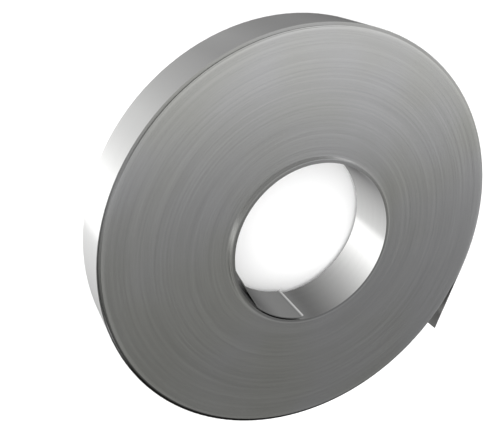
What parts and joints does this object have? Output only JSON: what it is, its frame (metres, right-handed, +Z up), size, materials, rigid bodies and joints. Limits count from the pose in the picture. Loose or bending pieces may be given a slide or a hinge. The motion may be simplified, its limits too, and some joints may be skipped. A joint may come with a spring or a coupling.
{
  "type": "steel coil",
  "caption": "Narrow slit coil of bright cold-rolled steel strip, lying on its back face, with an open eye, a sprung outer tail and turns that show on both faces.",
  "frame": {"origin": "on the axis of the eye, at mid-width of the strip", "axes": "coil axis along Z, front face up, +Z up"},
  "size_m": [1.2924, 1.2899, 0.188],
  "materials": {
    "bright_strip": "bright cold-rolled strip, glossy rolled faces, dull slit edges"
  },
  "bodies": {
    "root": {"coil": "bright_strip"}
  },
  "joints": []
}
